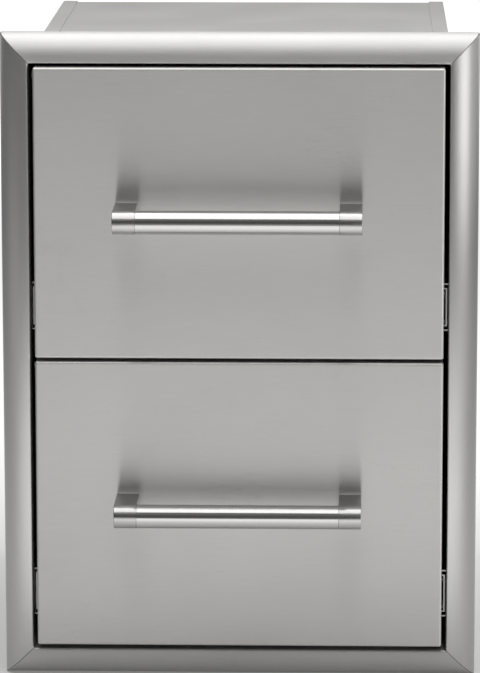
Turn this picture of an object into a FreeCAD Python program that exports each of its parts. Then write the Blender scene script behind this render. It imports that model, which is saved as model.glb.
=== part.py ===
import FreeCAD, Part
import math
import os

# Outdoor kitchen drawer unit: a stainless steel cabinet behind a mitred trim frame,
# with two drawers, one above the other, each on a pair of ball-bearing slides.
# Lengths are millimetres. +X is right, +Z is up, and the drawers open towards -Y.
# The origin is on the underside of the cabinet, midway between its sides, in the
# plane of the wall that the trim frame seats against.
V = FreeCAD.Vector

# Trim frame
UNIT_WIDTH = 444.0
UNIT_HEIGHT = 610.0
TRIM_FACE = 27.5  # width of one member, seen from the front
TRIM_DEPTH = 23.0  # how far the frame stands off the wall
TRIM_LIP_RADIUS = 1.8  # bend from the rounded face into the opening
TRIM_SEAT = 10.0  # strip that lies on the wall
TRIM_SHEET = 1.2
TRIM_CORNER_RADIUS = 3.0

# Cabinet box
CABINET_DEPTH = 484.0  # behind the wall
CABINET_NOSE = 12.0  # how far the box reaches into the trim frame
CABINET_SHEET = 1.2
CABINET_FLANGE = 15.0  # side panel's edges, folded over the top and bottom
BACK_FLANGE = 12.0
MOUNT_HOLE_RADIUS = 2.75
MOUNT_HOLE_SETBACK = 40.0  # from the wall plane
MOUNT_HOLE_RISE = 32.2  # above each drawer box's rim

# Drawer fronts
SIDE_GAP = 4.5
TOP_GAP = 3.0
MIDDLE_GAP = 3.2
BOTTOM_GAP = 5.2
FRONT_PROUD = 6.7  # front face ahead of the trim frame
FRONT_DEPTH = 20.0
FRONT_SHEET = 1.2
FRONT_BEND = 2.2
LINER_SHEET = 1.0
LINER_FLANGE = 10.0

# Drawer boxes
BOX_RISE = 14.0  # box underside above the front's lower edge
BOX_TOP_DROP = 47.8  # box rim below the front's upper edge
BOX_SHEET = 1.0
BOX_FLANGE = 12.0
BOX_HEM = 8.0  # side's top edge, folded flat on itself
HEM_ROUND = 0.9
BOX_OVERRUN = 6.0  # box behind the slide's inner member
BACK_DROP = 10.0  # box back below the rim

# Slides, 45 mm high, three members
SLIDE_RISE = 44.0  # slide's centre line above the front's lower edge
SLIDE_START = 3.0  # behind the wall plane
SLIDE_LENGTH = 450.0
SLIDE_HEIGHT = 45.0
SLIDE_WIDTH = 12.7
SLIDE_SHEET = 1.2
RACE_GAP = 3.2  # between the flanges that a row of balls runs in
RACE_EDGE = 1.3  # flange ends clear of the inner member's web
BALL_RADIUS = 1.75
BALL_PITCH = 25.0
BALLS_PER_ROW = 9
RACE_CLEARANCE = 0.15
CAGE_SHEET = 0.4
CAGE_CLEARANCE = 0.3
CAGE_EDGE = 0.4
CAGE_END = 10.0  # cage beyond its last ball
BUMPER_LENGTH = 3.7
BUMPER_HEIGHT = 32.0
BUMPER_WIDTH = 8.0
BUMPER_GAP = 0.3

# Handles
HANDLE_LENGTH = 228.6
HANDLE_DIAMETER = 22.0
HANDLE_STANDOFF = 49.0  # bar's axis off the drawer front
HANDLE_WALL = 1.5
POST_WIDTH = 21.0
SPIGOT_LENGTH = 8.0
SPIGOT_CLEARANCE = 0.1
SEAM_CHAMFER = 0.25

# Fasteners
HOLE_CLEARANCE = 0.05
SCREW_RADIUS = 2.5
SCREW_LENGTH = 13.0  # under the head
SCREW_HEAD_RADIUS = 4.6
SCREW_HEAD_HEIGHT = 3.2
SCREW_INSET = 7.0  # box screws in from the box's sides
SCREW_MARGIN = 25.0  # end screws in from the box's top and bottom
SCREWS_PER_SIDE = 3
RIVET_RADIUS = 2.0
RIVET_HEAD_RADIUS = 3.4
RIVET_HEAD_HEIGHT = 1.2
RIVET_TAIL_RADIUS = 2.8
RIVET_TAIL_HEIGHT = 0.8
RIVET_MARGIN = 35.0  # end rivets in from the slide's ends
RIVETS_PER_SLIDE = 3

# Heights, from the underside of the cabinet
BOTTOM_PANEL_TOP = CABINET_SHEET
BOTTOM_FLANGE_TOP = BOTTOM_PANEL_TOP + CABINET_SHEET
OPENING_BOTTOM = BOTTOM_FLANGE_TOP + TRIM_SHEET
OPENING_TOP = OPENING_BOTTOM + UNIT_HEIGHT - 2 * TRIM_FACE
TRIM_BOTTOM = OPENING_BOTTOM - TRIM_FACE
TRIM_TOP = TRIM_BOTTOM + UNIT_HEIGHT
TOP_PANEL_BOTTOM = OPENING_TOP + TRIM_SHEET
TOP_PANEL_TOP = TOP_PANEL_BOTTOM + CABINET_SHEET
CABINET_TOP = TOP_PANEL_TOP + CABINET_SHEET

# Half widths
OPENING_HALF = UNIT_WIDTH / 2 - TRIM_FACE
CABINET_INNER_HALF = OPENING_HALF + TRIM_SHEET
CABINET_OUTER_HALF = CABINET_INNER_HALF + CABINET_SHEET
FRONT_HALF = OPENING_HALF - SIDE_GAP
BOX_HALF = CABINET_INNER_HALF - SLIDE_WIDTH

# Depths: -Y is in front of the wall
FACE_Y = -(TRIM_DEPTH + FRONT_PROUD)
FRONT_INNER_Y = FACE_Y + FRONT_SHEET
FRONT_BACK_Y = FACE_Y + FRONT_DEPTH
BAR_Y = FACE_Y - HANDLE_STANDOFF
SLIDE_END = SLIDE_START + SLIDE_LENGTH
INNER_LENGTH = SLIDE_LENGTH - BUMPER_LENGTH - BUMPER_GAP
BOX_END = SLIDE_START + INNER_LENGTH + BOX_OVERRUN

FRONT_HEIGHT = (OPENING_TOP - OPENING_BOTTOM - TOP_GAP - MIDDLE_GAP - BOTTOM_GAP) / 2
BOX_HEIGHT = FRONT_HEIGHT - BOX_RISE - BOX_TOP_DROP
FRONT_BOTTOMS = {
    "lower": OPENING_BOTTOM + BOTTOM_GAP,
    "upper": OPENING_BOTTOM + BOTTOM_GAP + FRONT_HEIGHT + MIDDLE_GAP,
}
SIDES = {"left": -1, "right": 1}

# Slide section. Widths run from the cabinet's side towards the drawer, and heights
# are half heights about the slide's centre line.
OUTER_HALF = SLIDE_HEIGHT / 2
MID_HALF = OUTER_HALF - SLIDE_SHEET - RACE_GAP
INNER_HALF = MID_HALF - SLIDE_SHEET - RACE_GAP
FLANGE_END = SLIDE_WIDTH - SLIDE_SHEET - RACE_EDGE
OUTER_CAGE_START = SLIDE_SHEET + CAGE_CLEARANCE
MID_START = OUTER_CAGE_START + CAGE_SHEET + CAGE_CLEARANCE
INNER_CAGE_START = MID_START + SLIDE_SHEET + CAGE_CLEARANCE
INNER_START = INNER_CAGE_START + CAGE_SHEET + CAGE_CLEARANCE
OUTER_BALLS_WIDTH = (MID_START + FLANGE_END) / 2
INNER_BALLS_WIDTH = (INNER_START + FLANGE_END) / 2
OUTER_BALLS_HEIGHT = MID_HALF + RACE_GAP / 2
INNER_BALLS_HEIGHT = INNER_HALF + RACE_GAP / 2
RACE_RADIUS = BALL_RADIUS + RACE_CLEARANCE
CAGE_LENGTH = (BALLS_PER_ROW - 1) * BALL_PITCH + 2 * CAGE_END
CAGE_Y = SLIDE_START + (SLIDE_LENGTH - CAGE_LENGTH) / 2


def block(low, high):
    """Box between two corners, given in either order."""
    corner = V(*(min(a, b) for a, b in zip(low, high)))
    size = [abs(a - b) for a, b in zip(low, high)]
    return Part.makeBox(size[0], size[1], size[2], corner)


def rod(radius, start, end):
    """Round rod between two points."""
    start = V(*start)
    axis = V(*end) - start
    return Part.makeCylinder(radius, axis.Length, start, axis)


def rounded_face(corners):
    """Flat face through (point, radius) corners, each rounded by its radius."""
    count = len(corners)
    points = [point for point, _ in corners]
    ends = []
    for index, (point, radius) in enumerate(corners):
        back = (points[index - 1] - point).normalize()
        ahead = (points[(index + 1) % count] - point).normalize()
        half = back.getAngle(ahead) / 2
        reach = radius / math.tan(half)
        middle = (back + ahead).normalize()
        arc_middle = point + middle * (radius / math.sin(half) - radius)
        ends.append((point + back * reach, arc_middle, point + ahead * reach))
    edges = []
    for index, (first, arc_middle, last) in enumerate(ends):
        if corners[index][1] > 0:
            edges.append(Part.Arc(first, arc_middle, last).toShape())
        following = ends[(index + 1) % count][0]
        edges.append(Part.makeLine(last, following))
    return Part.Face(Part.Wire(edges))


def quarter_curve(start, corner, end):
    """Quarter of an ellipse from start to end, tangent to both legs at corner."""
    curve = Part.BezierCurve()
    curve.setPoles([start, corner, end])
    curve.setWeight(2, math.sqrt(0.5))
    return curve.toShape()


def one_solid(shape):
    """The single solid of a boolean result, with merged faces."""
    return shape.removeSplitter().Solids[0]


def trim_section(place):
    """Section of a trim member. place(inset, rise) turns inset from the frame's outer
    edge and rise off the wall into a point."""
    crest = TRIM_FACE - TRIM_LIP_RADIUS
    lip_rise = TRIM_DEPTH - TRIM_LIP_RADIUS
    inner_lip = TRIM_LIP_RADIUS - TRIM_SHEET
    slant = math.sqrt(0.5)
    lip_centre = (crest, lip_rise)

    def lip_point(radius):
        return place(lip_centre[0] + radius * slant, lip_centre[1] + radius * slant)

    edges = [
        quarter_curve(place(0, 0), place(0, TRIM_DEPTH), place(crest, TRIM_DEPTH)),
        Part.Arc(
            place(crest, TRIM_DEPTH),
            lip_point(TRIM_LIP_RADIUS),
            place(TRIM_FACE, lip_rise),
        ).toShape(),
        Part.makeLine(place(TRIM_FACE, lip_rise), place(TRIM_FACE, 0)),
        Part.makeLine(place(TRIM_FACE, 0), place(TRIM_FACE - TRIM_SHEET, 0)),
        Part.makeLine(
            place(TRIM_FACE - TRIM_SHEET, 0), place(TRIM_FACE - TRIM_SHEET, lip_rise)
        ),
        Part.Arc(
            place(TRIM_FACE - TRIM_SHEET, lip_rise),
            lip_point(inner_lip),
            place(crest, TRIM_DEPTH - TRIM_SHEET),
        ).toShape(),
        quarter_curve(
            place(crest, TRIM_DEPTH - TRIM_SHEET),
            place(TRIM_SHEET, TRIM_DEPTH - TRIM_SHEET),
            place(TRIM_SHEET, 0),
        ),
        Part.makeLine(place(TRIM_SHEET, 0), place(0, 0)),
    ]
    return Part.Face(Part.Wire(edges))


def trim_outline():
    """Prism of the frame's outer outline, with its rounded corners."""
    left = -UNIT_WIDTH / 2
    right = UNIT_WIDTH / 2
    corners = [
        V(left, 0, TRIM_BOTTOM),
        V(right, 0, TRIM_BOTTOM),
        V(right, 0, TRIM_TOP),
        V(left, 0, TRIM_TOP),
    ]
    face = rounded_face([(corner, TRIM_CORNER_RADIUS) for corner in corners])
    return face.extrude(V(0, -2 * TRIM_DEPTH, 0))


def trim_member(start, along, inward, length):
    """One mitred member, whose outer edge runs from start for length along."""

    def place(inset, rise):
        return start + inward * inset + V(0, -rise, 0)

    sheet = trim_section(place).extrude(along * length)
    seat_corners = [
        place(TRIM_SHEET / 2, 0),
        place(TRIM_SEAT, 0),
        place(TRIM_SEAT, TRIM_SHEET),
        place(TRIM_SHEET / 2, TRIM_SHEET),
    ]
    seat_face = rounded_face([(corner, 0) for corner in seat_corners])
    sheet = sheet.fuse(seat_face.extrude(along * length))
    reach = 1.5 * TRIM_FACE
    mitre_corners = [
        start,
        start + along * length,
        start + along * (length - reach) + inward * reach,
        start + along * reach + inward * reach,
    ]
    mitre_face = rounded_face([(corner, 0) for corner in mitre_corners])
    mitre = mitre_face.extrude(V(0, -2 * TRIM_DEPTH, 0)).common(trim_outline())
    return one_solid(sheet.common(mitre))


def trim_frame():
    """The four members, mitred and welded at the corners."""
    left = -UNIT_WIDTH / 2
    right = UNIT_WIDTH / 2
    across = V(1, 0, 0)
    up = V(0, 0, 1)
    return {
        "trim_bottom": trim_member(V(left, 0, TRIM_BOTTOM), across, up, UNIT_WIDTH),
        "trim_top": trim_member(V(left, 0, TRIM_TOP), across, -up, UNIT_WIDTH),
        "trim_left": trim_member(V(left, 0, TRIM_BOTTOM), up, across, UNIT_HEIGHT),
        "trim_right": trim_member(V(right, 0, TRIM_BOTTOM), up, -across, UNIT_HEIGHT),
    }


def slide_height(level):
    """Height of a drawer's slides."""
    return FRONT_BOTTOMS[level] + SLIDE_RISE


def rivet_places():
    """Distances of a slide's rivets behind the wall plane."""
    first = SLIDE_START + RIVET_MARGIN
    last = SLIDE_START + INNER_LENGTH - RIVET_MARGIN
    step = (last - first) / (RIVETS_PER_SLIDE - 1)
    return [first + step * index for index in range(RIVETS_PER_SLIDE)]


def cabinet_side(side):
    """Side panel with its top and bottom edges folded inwards."""
    outer = side * CABINET_OUTER_HALF
    inner = side * CABINET_INNER_HALF
    edge = side * (CABINET_OUTER_HALF - CABINET_FLANGE)
    low = BOTTOM_PANEL_TOP
    corners = [
        ((edge, low), 0),
        ((outer, low), CABINET_SHEET),
        ((outer, CABINET_TOP), CABINET_SHEET),
        ((edge, CABINET_TOP), 0),
        ((edge, TOP_PANEL_TOP), 0),
        ((inner, TOP_PANEL_TOP), 0),
        ((inner, BOTTOM_FLANGE_TOP), 0),
        ((edge, BOTTOM_FLANGE_TOP), 0),
    ]
    face = rounded_face([(V(x, -CABINET_NOSE, z), r) for (x, z), r in corners])
    panel = face.extrude(V(0, CABINET_NOSE + CABINET_DEPTH, 0))
    for level in FRONT_BOTTOMS:
        for y in rivet_places():
            z = slide_height(level)
            hole = rod(RIVET_RADIUS + HOLE_CLEARANCE, (0, y, z), (2 * outer, y, z))
            panel = panel.cut(hole)
        y = MOUNT_HOLE_SETBACK
        z = FRONT_BOTTOMS[level] + BOX_RISE + BOX_HEIGHT + MOUNT_HOLE_RISE
        panel = panel.cut(rod(MOUNT_HOLE_RADIUS, (0, y, z), (2 * outer, y, z)))
    return one_solid(panel)


def cabinet_back():
    """Back panel, with its side edges folded forwards against the sides."""
    half = CABINET_INNER_HALF
    back = CABINET_DEPTH
    front = back - CABINET_SHEET
    tip = back - BACK_FLANGE
    inner_half = half - CABINET_SHEET
    corners = [
        ((-half, back), CABINET_SHEET),
        ((half, back), CABINET_SHEET),
        ((half, tip), 0),
        ((inner_half, tip), 0),
        ((inner_half, front), 0),
        ((-inner_half, front), 0),
        ((-inner_half, tip), 0),
        ((-half, tip), 0),
    ]
    face = rounded_face([(V(x, y, BOTTOM_FLANGE_TOP), r) for (x, y), r in corners])
    return face.extrude(V(0, 0, TOP_PANEL_BOTTOM - BOTTOM_FLANGE_TOP))


def cabinet_box():
    """The box behind the wall."""
    return {
        "cabinet_side_left": cabinet_side(-1),
        "cabinet_side_right": cabinet_side(1),
        "cabinet_top": block(
            (-CABINET_INNER_HALF, -CABINET_NOSE, TOP_PANEL_BOTTOM),
            (CABINET_INNER_HALF, CABINET_DEPTH, TOP_PANEL_TOP),
        ),
        "cabinet_bottom": block(
            (-CABINET_OUTER_HALF, 0, 0),
            (CABINET_OUTER_HALF, CABINET_DEPTH, BOTTOM_PANEL_TOP),
        ),
        "cabinet_back": cabinet_back(),
    }


def slide_x(side, width):
    """X of a slide's section width, measured from the cabinet's side."""
    return side * (CABINET_INNER_HALF - width)


def channel(side, centre, webs, tip, half, sheet, start, length):
    """Channel along a slide. webs are the web's two faces, tip is where the flanges
    end and half is the flanges' outer half height."""
    web_outer, web_inner = webs
    section = [
        (web_outer, -half),
        (tip, -half),
        (tip, sheet - half),
        (web_inner, sheet - half),
        (web_inner, half - sheet),
        (tip, half - sheet),
        (tip, half),
        (web_outer, half),
    ]
    points = [V(slide_x(side, w), start, centre + h) for w, h in section]
    face = rounded_face([(point, 0) for point in points])
    return face.extrude(V(0, length, 0))


def cut_races(member, side, centre, width, height):
    """Cuts the upper and lower ball races, along the whole slide."""
    for level in (-height, height):
        x = slide_x(side, width)
        start = (x, SLIDE_START - SLIDE_WIDTH, centre + level)
        end = (x, SLIDE_END + SLIDE_WIDTH, centre + level)
        member = member.cut(rod(RACE_RADIUS, start, end))
    return member


def cut_rivet_holes(member, side, centre, first, last):
    """Cuts rivet holes through a slide member between two section widths."""
    for y in rivet_places():
        start = (slide_x(side, first), y, centre)
        end = (slide_x(side, last), y, centre)
        member = member.cut(rod(RIVET_RADIUS + HOLE_CLEARANCE, start, end))
    return member


def slide_outer(side, centre):
    """Member fixed to the cabinet's side."""
    webs = (0, SLIDE_SHEET)
    member = channel(
        side, centre, webs, FLANGE_END, OUTER_HALF, SLIDE_SHEET, SLIDE_START, SLIDE_LENGTH
    )
    member = cut_races(member, side, centre, OUTER_BALLS_WIDTH, OUTER_BALLS_HEIGHT)
    return one_solid(cut_rivet_holes(member, side, centre, -SLIDE_SHEET, 2 * SLIDE_SHEET))


def slide_mid(side, centre):
    """Member that travels half as far as the drawer."""
    webs = (MID_START, MID_START + SLIDE_SHEET)
    member = channel(
        side, centre, webs, FLANGE_END, MID_HALF, SLIDE_SHEET, SLIDE_START, INNER_LENGTH
    )
    member = cut_races(member, side, centre, OUTER_BALLS_WIDTH, OUTER_BALLS_HEIGHT)
    return one_solid(
        cut_races(member, side, centre, INNER_BALLS_WIDTH, INNER_BALLS_HEIGHT)
    )


def slide_inner(side, centre):
    """Member fixed to the drawer box's side."""
    webs = (SLIDE_WIDTH, SLIDE_WIDTH - SLIDE_SHEET)
    member = channel(
        side, centre, webs, INNER_START, INNER_HALF, SLIDE_SHEET, SLIDE_START, INNER_LENGTH
    )
    member = cut_races(member, side, centre, INNER_BALLS_WIDTH, INNER_BALLS_HEIGHT)
    first = SLIDE_WIDTH - 2 * SLIDE_SHEET
    return one_solid(
        cut_rivet_holes(member, side, centre, first, SLIDE_WIDTH + SLIDE_SHEET)
    )


def ball_places(side, centre, width, height):
    """Centres of the balls in a slide's upper and lower rows."""
    first = CAGE_Y + CAGE_END
    return [
        V(slide_x(side, width), first + BALL_PITCH * index, centre + row)
        for row in (-height, height)
        for index in range(BALLS_PER_ROW)
    ]


def ball_cage(side, centre, start, width, height):
    """Folded strip that keeps two rows of balls apart."""
    half = height + CAGE_SHEET / 2
    tip = FLANGE_END - CAGE_EDGE
    webs = (start, start + CAGE_SHEET)
    cage = channel(side, centre, webs, tip, half, CAGE_SHEET, CAGE_Y, CAGE_LENGTH)
    pockets = [
        Part.makeCylinder(
            BALL_RADIUS + RACE_CLEARANCE, 2 * BALL_RADIUS, place - V(0, 0, BALL_RADIUS)
        )
        for place in ball_places(side, centre, width, height)
    ]
    return one_solid(cage.cut(Part.makeCompound(pockets)))


def balls(centre, width, height):
    """All the balls that run at one section width and height, left and right."""
    places = [
        place
        for side in SIDES.values()
        for place in ball_places(side, centre, width, height)
    ]
    return Part.makeCompound([Part.makeSphere(BALL_RADIUS, place) for place in places])


def slide_bumper(side, centre):
    """Plastic stop at the back of a slide's outer member."""
    return block(
        (slide_x(side, SLIDE_SHEET), SLIDE_END - BUMPER_LENGTH, centre - BUMPER_HEIGHT / 2),
        (
            slide_x(side, SLIDE_SHEET + BUMPER_WIDTH),
            SLIDE_END,
            centre + BUMPER_HEIGHT / 2,
        ),
    )


def cabinet_rivet(side, y, z):
    """Rivet that holds a slide's outer member, with its head outside the cabinet."""
    head = slide_x(side, -CABINET_SHEET)
    crown = slide_x(side, -CABINET_SHEET - RIVET_HEAD_HEIGHT)
    shank = rod(RIVET_RADIUS, (head, y, z), (slide_x(side, SLIDE_SHEET), y, z))
    return one_solid(shank.fuse(rod(RIVET_HEAD_RADIUS, (crown, y, z), (head, y, z))))


def cabinet_slide_parts():
    """Slide members, stops and rivets that stay with the cabinet."""
    nodes = {}
    bumpers = []
    rivets = []
    for level in FRONT_BOTTOMS:
        centre = slide_height(level)
        for name, side in SIDES.items():
            nodes[f"{level}_slide_outer_{name}"] = slide_outer(side, centre)
            bumpers.append(slide_bumper(side, centre))
            rivets += [cabinet_rivet(side, y, centre) for y in rivet_places()]
    nodes["slide_rear_bumpers"] = Part.makeCompound(bumpers)
    nodes["cabinet_slide_rivets"] = Part.makeCompound(rivets)
    return nodes


def pan_blank(half, low, high, front, back, radius):
    """Block with rounded edges round its front face and along its depth."""
    blank = block((-half, front, low), (half, back, high))
    behind = (front + back) / 2
    edges = [edge for edge in blank.Edges if edge.BoundBox.YMin < behind]
    return blank.makeFillet(radius, edges)


def handle_centre_x(side):
    """Middle of a handle post."""
    return side * (HANDLE_LENGTH - POST_WIDTH) / 2


def box_screw_places(level):
    """(x, z) of the screws between a drawer box and its front."""
    first = FRONT_BOTTOMS[level] + BOX_RISE + SCREW_MARGIN
    step = (BOX_HEIGHT - 2 * SCREW_MARGIN) / (SCREWS_PER_SIDE - 1)
    return [
        (side * (BOX_HALF - SCREW_INSET), first + step * index)
        for side in SIDES.values()
        for index in range(SCREWS_PER_SIDE)
    ]


def cut_box_screw_holes(sheet, level):
    """Cuts the box screws' holes through a sheet behind a drawer front."""
    radius = SCREW_RADIUS + HOLE_CLEARANCE
    for x, z in box_screw_places(level):
        sheet = sheet.cut(rod(radius, (x, FRONT_BACK_Y - LINER_FLANGE, z), (x, 0, z)))
    return sheet


def front_panel(level):
    """Outer skin of a drawer front, with its handle screw holes."""
    low = FRONT_BOTTOMS[level]
    high = low + FRONT_HEIGHT
    sheet = FRONT_SHEET
    skin = pan_blank(FRONT_HALF, low, high, FACE_Y, FRONT_BACK_Y, FRONT_BEND)
    hollow = pan_blank(
        FRONT_HALF - sheet,
        low + sheet,
        high - sheet,
        FRONT_INNER_Y,
        FRONT_BACK_Y + FRONT_BEND,
        FRONT_BEND - sheet,
    )
    panel = skin.cut(hollow)
    z = (low + high) / 2
    radius = SCREW_RADIUS + HOLE_CLEARANCE
    for side in SIDES.values():
        x = handle_centre_x(side)
        hole = rod(radius, (x, FACE_Y - FRONT_SHEET, z), (x, FRONT_BACK_Y, z))
        panel = panel.cut(hole)
    return one_solid(panel)


def front_liner(level):
    """Inner skin of a drawer front, a shallow pan nested in the outer skin."""
    low = FRONT_BOTTOMS[level] + FRONT_SHEET
    high = low + FRONT_HEIGHT - 2 * FRONT_SHEET
    half = FRONT_HALF - FRONT_SHEET
    front = FRONT_BACK_Y - LINER_FLANGE
    inner_half = half - LINER_SHEET
    outer = block((-half, front, low), (half, FRONT_BACK_Y, high))
    corners = [edge for edge in outer.Edges if edge.BoundBox.YLength > LINER_SHEET]
    outer = outer.makeFillet(FRONT_BEND - FRONT_SHEET, corners)
    hollow = block(
        (-inner_half, front, low + LINER_SHEET),
        (inner_half, FRONT_BACK_Y - LINER_SHEET, high - LINER_SHEET),
    )
    return one_solid(cut_box_screw_holes(outer.cut(hollow), level))


def screw(x, z, seat):
    """Screw along Y, with its head behind the seat."""
    shank = rod(SCREW_RADIUS, (x, seat - SCREW_LENGTH, z), (x, seat, z))
    crown = (x, seat + SCREW_HEAD_HEIGHT, z)
    return one_solid(shank.fuse(rod(SCREW_HEAD_RADIUS, (x, seat, z), crown)))


def drawer_screws(level):
    """Screws that hold a drawer's handle and its box to the front."""
    centre = FRONT_BOTTOMS[level] + FRONT_HEIGHT / 2
    screws = [
        screw(handle_centre_x(side), centre, FRONT_INNER_Y) for side in SIDES.values()
    ]
    seat = FRONT_BACK_Y + BOX_SHEET
    screws += [screw(x, z, seat) for x, z in box_screw_places(level)]
    return Part.makeCompound(screws)


def box_front(level):
    """Front plate of a drawer box, that its sides and bottom butt against."""
    low = FRONT_BOTTOMS[level] + BOX_RISE
    plate = block(
        (-BOX_HALF, FRONT_BACK_Y, low),
        (BOX_HALF, FRONT_BACK_Y + BOX_SHEET, low + BOX_HEIGHT),
    )
    return one_solid(cut_box_screw_holes(plate, level))


def box_side(side, level):
    """Side of a drawer box, folded in under the bottom, its top edge folded flat."""
    low = FRONT_BOTTOMS[level] + BOX_RISE
    high = low + BOX_HEIGHT
    outer = side * BOX_HALF
    inner = side * (BOX_HALF - BOX_SHEET)
    hem = side * (BOX_HALF - 2 * BOX_SHEET)
    toe = side * (BOX_HALF - BOX_FLANGE)
    corners = [
        ((toe, low), 0),
        ((outer, low), BOX_SHEET),
        ((outer, high), HEM_ROUND),
        ((hem, high), HEM_ROUND),
        ((hem, high - BOX_HEM), 0),
        ((inner, high - BOX_HEM), 0),
        ((inner, low + BOX_SHEET), 0),
        ((toe, low + BOX_SHEET), 0),
    ]
    start = FRONT_BACK_Y + BOX_SHEET
    face = rounded_face([(V(x, start, z), r) for (x, z), r in corners])
    panel = face.extrude(V(0, BOX_END - start, 0))
    last = SLIDE_WIDTH + 2 * BOX_SHEET
    centre = slide_height(level)
    return one_solid(cut_rivet_holes(panel, side, centre, SLIDE_WIDTH, last))


def box_bottom(level):
    """Bottom of a drawer box, resting on the sides' lower flanges."""
    low = FRONT_BOTTOMS[level] + BOX_RISE + BOX_SHEET
    half = BOX_HALF - BOX_SHEET
    return block(
        (-half, FRONT_BACK_Y + BOX_SHEET, low), (half, BOX_END, low + BOX_SHEET)
    )


def box_back(level):
    """Back of a drawer box, standing on the bottom, its edges folded backwards."""
    low = FRONT_BOTTOMS[level] + BOX_RISE + 2 * BOX_SHEET
    high = FRONT_BOTTOMS[level] + BOX_RISE + BOX_HEIGHT - BACK_DROP
    half = BOX_HALF - BOX_SHEET
    front = BOX_END - BOX_FLANGE
    behind = front + BOX_SHEET
    corners = [
        ((-half, front), BOX_SHEET),
        ((half, front), BOX_SHEET),
        ((half, BOX_END), 0),
        ((half - BOX_SHEET, BOX_END), 0),
        ((half - BOX_SHEET, behind), 0),
        ((BOX_SHEET - half, behind), 0),
        ((BOX_SHEET - half, BOX_END), 0),
        ((-half, BOX_END), 0),
    ]
    face = rounded_face([(V(x, y, low), r) for (x, y), r in corners])
    return face.extrude(V(0, 0, high - low))


def drawer_rivet(side, y, z):
    """Rivet between a slide's inner member and a drawer box's side."""
    web = slide_x(side, SLIDE_WIDTH - SLIDE_SHEET)
    crown = slide_x(side, SLIDE_WIDTH - SLIDE_SHEET - RIVET_HEAD_HEIGHT)
    skin = slide_x(side, SLIDE_WIDTH + BOX_SHEET)
    tail = slide_x(side, SLIDE_WIDTH + BOX_SHEET + RIVET_TAIL_HEIGHT)
    shank = rod(RIVET_RADIUS, (web, y, z), (skin, y, z))
    shank = shank.fuse(rod(RIVET_HEAD_RADIUS, (crown, y, z), (web, y, z)))
    return one_solid(shank.fuse(rod(RIVET_TAIL_RADIUS, (skin, y, z), (tail, y, z))))


def handle_bar(z):
    """Tube between the two posts."""
    half = HANDLE_LENGTH / 2 - POST_WIDTH
    ends = ((-half, BAR_Y, z), (half, BAR_Y, z))
    bar = rod(HANDLE_DIAMETER / 2, *ends)
    rims = [edge for edge in bar.Edges if edge.BoundBox.XLength < SEAM_CHAMFER]
    bar = bar.makeChamfer(SEAM_CHAMFER, rims)
    return one_solid(bar.cut(rod(HANDLE_DIAMETER / 2 - HANDLE_WALL, *ends)))


def handle_post(side, z):
    """Post with a round nose in line with the bar, a spigot inside the bar and a
    blind screw hole from the drawer front."""
    radius = HANDLE_DIAMETER / 2
    outer = side * HANDLE_LENGTH / 2
    inner = outer - side * POST_WIDTH
    leg = block((inner, BAR_Y, z - radius), (outer, FACE_Y, z + radius))
    post = leg.fuse(rod(radius, (inner, BAR_Y, z), (outer, BAR_Y, z)))
    spigot = radius - HANDLE_WALL - SPIGOT_CLEARANCE
    spigot_end = (inner - side * SPIGOT_LENGTH, BAR_Y, z)
    post = post.fuse(rod(spigot, (inner, BAR_Y, z), spigot_end))
    x = handle_centre_x(side)
    depth = FRONT_INNER_Y - SCREW_LENGTH - SCREW_RADIUS
    hole = rod(SCREW_RADIUS + HOLE_CLEARANCE, (x, depth, z), (x, FACE_Y, z))
    return one_solid(post.cut(hole))


def drawer(level):
    """One drawer with its handle."""
    z = FRONT_BOTTOMS[level] + FRONT_HEIGHT / 2
    centre = slide_height(level)
    nodes = {
        "front_panel": front_panel(level),
        "front_liner": front_liner(level),
        "drawer_screws": drawer_screws(level),
        "box_front": box_front(level),
        "box_bottom": box_bottom(level),
        "box_back": box_back(level),
        "handle_bar": handle_bar(z),
    }
    rivets = []
    for name, side in SIDES.items():
        nodes[f"box_side_{name}"] = box_side(side, level)
        nodes[f"handle_post_{name}"] = handle_post(side, z)
        nodes[f"slide_inner_{name}"] = slide_inner(side, centre)
        rivets += [drawer_rivet(side, y, centre) for y in rivet_places()]
    nodes["slide_rivets"] = Part.makeCompound(rivets)
    return {f"{level}_{name}": shape for name, shape in nodes.items()}


def slide_movers(level):
    """Members, cages and balls that travel between a cabinet and its drawer."""
    centre = slide_height(level)
    nodes = {}
    outer = (OUTER_BALLS_WIDTH, OUTER_BALLS_HEIGHT)
    inner = (INNER_BALLS_WIDTH, INNER_BALLS_HEIGHT)
    for name, side in SIDES.items():
        nodes[f"{level}_slide_mid_{name}"] = slide_mid(side, centre)
        nodes[f"{level}_outer_cage_{name}"] = ball_cage(
            side, centre, OUTER_CAGE_START, *outer
        )
        nodes[f"{level}_inner_cage_{name}"] = ball_cage(
            side, centre, INNER_CAGE_START, *inner
        )
    nodes[f"{level}_outer_balls"] = balls(centre, *outer)
    nodes[f"{level}_inner_balls"] = balls(centre, *inner)
    return nodes


def main():
    nodes = {}
    nodes.update(trim_frame())
    nodes.update(cabinet_box())
    nodes.update(cabinet_slide_parts())
    for level in FRONT_BOTTOMS:
        nodes.update(drawer(level))
        nodes.update(slide_movers(level))
    os.makedirs("parts", exist_ok=True)
    for name, shape in nodes.items():
        shape.exportStep(f"parts/{name}.step")
    print(len(nodes), "nodes written")


main()
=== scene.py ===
"""Outdoor kitchen drawer unit, dressed for the render.

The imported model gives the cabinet, drawer boxes and slides. This script makes the trim
frame, drawer fronts, handles, screws and rivets afresh, finishes every piece in its own
stainless steel, and sets up a plain studio with the camera at the photograph's angle.

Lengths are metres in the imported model's frame: +X is right, +Z is up, and the drawers
open towards -Y. Y is 0 in the plane of the wall that the trim frame seats against.
"""

import logging
import math
from dataclasses import dataclass
from enum import Enum
from typing import Any, Callable, Mapping, Sequence

import bmesh
import bpy
from mathutils import Matrix, Vector

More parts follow.
